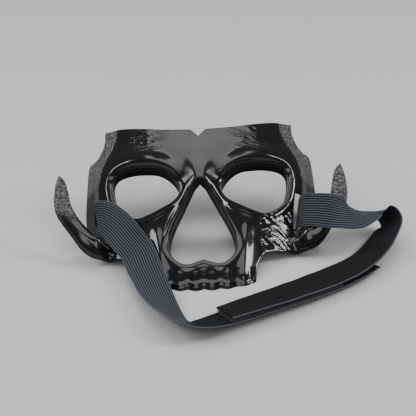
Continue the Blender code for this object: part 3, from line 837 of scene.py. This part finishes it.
class Nodes:
    """Adds shader nodes to one material and joins them; constants are set on the shader's own sockets."""

    def __init__(self, name, color, **values):
        self.material = bpy.data.materials.new(name)
        self.material.use_nodes = True
        self.tree = self.material.node_tree
        self.shader = self.tree.nodes["Principled BSDF"]
        self.shader.inputs["Base Color"].default_value = (*color, 1.0)
        for key, value in values.items():
            self.shader.inputs[key.replace("_", " ")].default_value = value

    def put(self, socket, value):
        """Joins a node's output to a socket, or sets the socket where the value is a number or colour."""
        if isinstance(value, bpy.types.NodeSocket):
            self.tree.links.new(value, socket)
        else:
            socket.default_value = value

    def add(self, kind, output=0, settings=None, **inputs):
        """A new node with its inputs set by name, or by number as n0 or n1; gives the wanted output."""
        node = self.tree.nodes.new(kind)
        for key, value in (settings or {}).items():
            setattr(node, key, value)
        for key, value in inputs.items():
            numbered = key[0] == "n" and key[1:].isdigit()
            self.put(node.inputs[int(key[1:]) if numbered else key.replace("_", " ")], value)
        return node.outputs[output]

    def layer(self, name):
        """A value that the mesh carries at each point."""
        return self.add("ShaderNodeAttribute", 2, {"attribute_name": name})

    def math(self, operation, first, second=0.0):
        return self.add("ShaderNodeMath", 0, {"operation": operation}, n0=first, n1=second)

    def blend(self, share, first, second):
        """From one number to another by a share."""
        return self.add("ShaderNodeMix", 0, {"data_type": "FLOAT"}, n0=share, n2=first, n3=second)

    def tint(self, share, first, second):
        """From one colour to another by a share."""
        first, second = [(*color, 1.0) if isinstance(color, tuple) else color for color in (first, second)]
        return self.add("ShaderNodeMix", 2, {"data_type": "RGBA"}, n0=share, n6=first, n7=second)

    def noise(self, scale, detail=2.0, stretch=(1.0, 1.0, 1.0), turn=(0.0, 0.0, 0.0)):
        """Noise on the piece's own coordinates in metres, stretched and turned by a mapping."""
        places = self.add("ShaderNodeTexCoord", 3)
        mapped = self.add("ShaderNodeMapping", 0, None, Vector=places, Scale=stretch, Rotation=turn)
        return self.add("ShaderNodeTexNoise", 0, None, Vector=mapped, Scale=scale, Detail=detail)

    def bump(self, height, distance, strength=1.0, under=None):
        """A bump of a height in metres, on top of another where given."""
        inputs = {"Height": height, "Distance": distance, "Strength": strength}
        if under is not None:
            inputs["Normal"] = under
        return self.add("ShaderNodeBump", 0, None, **inputs)

    def finish(self, **sockets):
        for key, value in sockets.items():
            self.put(self.shader.inputs[key.replace("_", " ")], value)
        return self.material


def plastic_material(settings):
    """Gloss black plastic, cracked at the forehead's corners and stippled on the temples and arch tips."""
    n = Nodes("gloss_black_plastic", settings.plastic_color, Metallic=0.0, IOR=1.5)
    stipple, streak, crack, wall = n.layer("stipple"), n.layer("streak"), n.layer("crack"), n.layer("wall")
    grain = n.noise(700.0, 3.0)
    patches = n.noise(140.0, 2.0)
    coarse = n.noise(480.0, 6.0, (1.0, 1.0, 1.8))
    rough_share = n.math("MULTIPLY", stipple, n.math("ADD", 0.4, patches))
    above = n.math("MULTIPLY", n.math("SUBTRACT", coarse, 0.42), 4.5)
    speck = n.math("MINIMUM", n.math("MAXIMUM", above, 0.0), 1.0)
    sand = n.math("MULTIPLY", rough_share, speck)
    color = n.tint(sand, tuple(settings.plastic_color), tuple(settings.stipple_color))
    gloss = n.blend(patches, settings.plastic_roughness, settings.plastic_roughness + 0.05)
    hewn = n.blend(streak, gloss, 0.12)
    roughness = n.blend(wall, n.blend(rough_share, hewn, 0.5), 0.45)
    wave = n.bump(n.noise(45.0, 1.0), 0.0014, 0.06)
    peel = n.bump(n.noise(420.0, 2.0), 0.0002, 0.15, wave)
    lines = n.noise(240.0, 3.0, (0.35, 1.0, 1.0), (0.0, 0.0, 0.5))
    streaks = n.bump(n.math("MULTIPLY", lines, streak), 0.0008, 0.8, peel)
    slanted = n.noise(75.0, 4.0, (0.4, 1.8, 1.0), (0.0, 0.0, -0.5))
    splits = n.math("ABSOLUTE", n.math("SUBTRACT", slanted, 0.5))
    cut = n.math("MULTIPLY", n.math("MINIMUM", n.math("MULTIPLY", splits, 14.0), 1.0), crack)
    cracks = n.bump(cut, 0.0006, 0.9, streaks)
    pits = n.bump(n.math("MULTIPLY", coarse, stipple), 0.0012, 0.9, cracks)
    normal = n.bump(n.math("MULTIPLY", grain, stipple), 0.0007, 1.0, pits)
    shine = n.blend(wall, 0.5, 0.12)
    return n.finish(Base_Color=color, Roughness=roughness, Normal=normal, Specular_IOR_Level=shine)


def elastic_material(settings):
    """Knitted elastic: blue black outer face, darker back, painted shade in the valleys between the ribs, a
    painted highlight on the rolled edges, and stitches along every rib.
    """
    n = Nodes("ribbed_elastic", settings.strap_color, Metallic=0.0, Sheen_Weight=0.05, Sheen_Roughness=0.5)
    n.shader.inputs["Specular IOR Level"].default_value = 0.1
    crest, edge, face = n.layer("crest"), n.layer("edge"), n.layer("face")
    back = tuple(0.22 * c for c in settings.strap_color)
    black = tuple(0.05 * c for c in settings.strap_color)
    # Painted shade: the valleys between the ribs are darkened nearly to black
    painted_valley_shade = tuple(0.04 * c for c in settings.strap_color)
    # Painted highlight: the rolled edges get a colour a little lighter than the elastic's
    light = tuple(min(1.0, 1.1 * c) for c in settings.strap_color)
    body = n.tint(face, back, tuple(settings.strap_color))
    covered = n.tint(n.layer("piled"), body, black)
    # The crests keep the elastic's colour and the valleys fade into the painted shade
    ribbed = n.tint(n.math("POWER", crest, 4.0), painted_valley_shade, covered)
    stitches = n.math("SINE", n.math("MULTIPLY", n.layer("along"), 2.0 * math.pi / 0.0011))
    fuzz = n.noise(1500.0, 3.0)
    # Painted highlight laid along the rolled edges
    color = n.tint(n.math("MULTIPLY", edge, 0.7), ribbed, light)
    knit = n.bump(stitches, 0.00008, 0.5)
    normal = n.bump(fuzz, 0.0002, 0.5, knit)
    return n.finish(Base_Color=color, Roughness=n.blend(fuzz, 0.62, 0.9), Normal=normal)


def tape_material(name, color, roughness):
    """Woven nylon ground with threads that are a little lighter and glossier."""
    n = Nodes(name, color, Metallic=0.0, Sheen_Weight=0.2)
    thread = n.layer("thread")
    weft = n.math("SINE", n.math("MULTIPLY", n.layer("along"), 2.0 * math.pi / 0.0006))
    warp = n.math("SINE", n.math("MULTIPLY", n.layer("across"), 2.0 * math.pi / 0.0006))
    weave = n.bump(n.math("MULTIPLY", weft, warp), 0.00006, 0.6)
    tint = n.tint(thread, tuple(color), tuple(min(1.0, 1.6 * c) for c in color))
    return n.finish(Base_Color=tint, Roughness=n.blend(thread, 0.85, roughness), Normal=weave)


def color_setting(name, description, default):
    """A colour that a user can change."""
    return bpy.props.FloatVectorProperty(name=name, description=description, subtype="COLOR", size=3,
                                         default=default, min=0.0, max=1.0)


def length_setting(name, description, default, least, most):
    """A length in metres that a user can change."""
    return bpy.props.FloatProperty(name=name, description=description, default=default,
                                   min=least, max=most, unit="LENGTH")


class MaskSettings(bpy.types.PropertyGroup):
    """Sizes and colours that a user would change."""
    edge_rounding: length_setting("Edge rounding", "Radius of the moulding's edges", 0.0009, 0.0002, 0.0014)
    strap_width: length_setting("Strap width", "Width of the ribbed elastic", 0.025, 0.02, 0.025)
    rib_depth: length_setting("Rib depth", "Depth of the valleys between the ribs", 0.00034, 0.0, 0.0005)
    strap_ribs: bpy.props.IntProperty(name="Ribs", description="Ribs along each face of a strap",
                                      default=13, min=5, max=20)
    plastic_color: color_setting("Plastic", "Colour of the moulding", (0.006, 0.006, 0.007))
    stipple_color: color_setting("Stipple", "Colour of the rough temples and tips", (0.16, 0.16, 0.165))
    plastic_roughness: bpy.props.FloatProperty(name="Plastic roughness", default=0.1, min=0.0, max=1.0,
                                               description="Roughness of the gloss", subtype="FACTOR")
    strap_color: color_setting("Elastic", "Colour of the straps' outer face", (0.072, 0.080, 0.094))
    tape_color: color_setting("Tape", "Colour of the hook and loop tapes", (0.008, 0.008, 0.009))
    floor_color: color_setting("Floor", "Colour of the floor", (0.5, 0.5, 0.5))
    light_strength: bpy.props.FloatProperty(name="Light", description="Strength of all lights together",
                                            default=1.0, min=0.0, max=10.0)


class MASK_OT_mould_face(bpy.types.Operator):
    """Makes the skull face with its holes, slots and arch ends"""
    bl_idname = "mask.mould_face"
    bl_label = "Mould the face"

    def execute(self, context):
        settings = context.scene.skull_mask
        places, faces, layers = skull_face(settings)
        piece = make_piece("skull_moulding", places, faces, plastic_material(settings), layers,
                           ["skull_face"])
        turn_outwards(piece, ground=True)
        return {"FINISHED"}


class MASK_OT_lay_straps(bpy.types.Operator):
    """Makes the two ribbed straps along their rows"""
    bl_idname = "mask.lay_straps"
    bl_label = "Lay the straps"

    def execute(self, context):
        settings = context.scene.skull_mask
        material = elastic_material(settings)
        left_rows = np.vstack([LEFT_FREE, OVERLAP])
        right_rows = np.vstack([RIGHT_FREE, lifted(OVERLAP[:SHARED_ROWS], TOP_LIFT)[::-1]])
        strap("strap_left_elastic", "strap_left", left_rows, settings, material, 5, LEFT_PILE)
        strap("strap_right_elastic", "strap_right", right_rows, settings, material, 6, RIGHT_PILE)
        return {"FINISHED"}


class MASK_OT_sew_tapes(bpy.types.Operator):
    """Makes the loop tape on the left strap and the hook tape under the right one"""
    bl_idname = "mask.sew_tapes"
    bl_label = "Sew the tapes"

    def execute(self, context):
        color = tuple(context.scene.skull_mask.tape_color)
        shared = OVERLAP[:SHARED_ROWS]
        tape("loop_tape_pile", "loop_tape", lifted(shared, LOOP_LIFT), 1.0, LOOP_THREAD, 0.07, 1.0,
             tape_material("loop_pile", color, 0.9), "loop_pile", 21)
        tape("hook_tape_hooks", "hook_tape", lifted(shared, HOOK_LIFT), -1.0, HOOK_THREAD, 0.09, 1.5,
             tape_material("hook_field", color, 0.35), "hook_field", 22)
        return {"FINISHED"}


class MASK_OT_set_stage(bpy.types.Operator):
    """Adds the pale floor, the soft lights and the camera"""
    bl_idname = "mask.set_stage"
    bl_label = "Set the stage"

    def execute(self, context):
        settings = context.scene.skull_mask
        floor_mesh = bpy.data.meshes.new("floor")
        low, high = -FLOOR_REACH, FLOOR_REACH
        corners = [(x, y, FLOOR_HEIGHT) for x, y in ((low, low), (high, low), (high, high), (low, high))]
        floor_mesh.from_pydata(corners, [], [(0, 1, 2, 3)])
        floor_mesh.materials.append(Nodes("floor", settings.floor_color, Roughness=0.6).material)
        floor = bpy.data.objects.new("floor", floor_mesh)
        context.collection.objects.link(floor)
        world = bpy.data.worlds.new("room")
        world.use_nodes = True
        background = world.node_tree.nodes["Background"]
        background.inputs["Color"].default_value = ROOM_COLOR
        background.inputs["Strength"].default_value = ROOM_STRENGTH
        context.scene.world = world
        for name, place, aim, size, power in LIGHTS:
            soft_light(context, name, place, aim, size, power * settings.light_strength)
        set_camera(context)
        return {"FINISHED"}


def aimed(place, aim):
    """A matrix that puts an object at a place and points its minus Z at the aim."""
    back = np.array(place) - np.array(aim)
    back /= np.linalg.norm(back)
    right = np.cross([0.0, 0.0, 1.0], back)
    right /= np.linalg.norm(right)
    up = np.cross(back, right)
    return Matrix([[right[k], up[k], back[k], place[k]] for k in range(3)] + [[0.0, 0.0, 0.0, 1.0]])


def soft_light(context, name, place, aim, size, power):
    """A rectangular area light."""
    light = bpy.data.lights.new(name, "AREA")
    light.shape = "RECTANGLE"
    light.size, light.size_y = size
    light.energy = power
    lamp = bpy.data.objects.new(name, light)
    lamp.matrix_world = aimed(place, aim)
    context.collection.objects.link(lamp)


def set_camera(context):
    """The camera at the photograph's height and turn, looking along the ground's Y and down."""
    data = bpy.data.cameras.new("camera")
    data.lens = CAMERA_LENS
    data.sensor_width = CAMERA_SENSOR
    data.clip_start = 0.01
    camera = bpy.data.objects.new("camera", data)
    ahead = np.array([0.0, math.cos(CAMERA_DOWN), -math.sin(CAMERA_DOWN)])
    right = np.array([1.0, 0.0, 0.0])
    up = np.cross(right, ahead)
    turned_right = right * math.cos(CAMERA_ROLL) - up * math.sin(CAMERA_ROLL)
    turned_up = right * math.sin(CAMERA_ROLL) + up * math.cos(CAMERA_ROLL)
    rows = [[turned_right[k], turned_up[k], -ahead[k], CAMERA_PLACE[k]] for k in range(3)]
    camera.matrix_world = Matrix(rows + [[0.0, 0.0, 0.0, 1.0]])
    context.collection.objects.link(camera)
    context.scene.camera = camera


class MASK_PT_panel(bpy.types.Panel):
    """Lists the sizes, colours and steps of the mask"""
    bl_idname = "MASK_PT_panel"
    bl_label = "Skull mask"
    bl_space_type = "VIEW_3D"
    bl_region_type = "UI"
    bl_category = "Skull mask"

    def draw(self, context):
        settings = context.scene.skull_mask
        for key in MaskSettings.__annotations__:
            self.layout.prop(settings, key)
        for step in STEPS:
            self.layout.operator(step.bl_idname)


STEPS = (MASK_OT_mould_face, MASK_OT_lay_straps, MASK_OT_sew_tapes, MASK_OT_set_stage)
CLASSES = (MaskSettings,) + STEPS + (MASK_PT_panel,)


def register():
    for item in CLASSES:
        bpy.utils.register_class(item)
    bpy.types.Scene.skull_mask = bpy.props.PointerProperty(type=MaskSettings)


def unregister():
    del bpy.types.Scene.skull_mask
    for item in reversed(CLASSES):
        bpy.utils.unregister_class(item)


def main():
    register()
    bpy.ops.mask.mould_face()
    bpy.ops.mask.lay_straps()
    bpy.ops.mask.sew_tapes()
    bpy.ops.mask.set_stage()


if __name__ == "__main__":
    main()
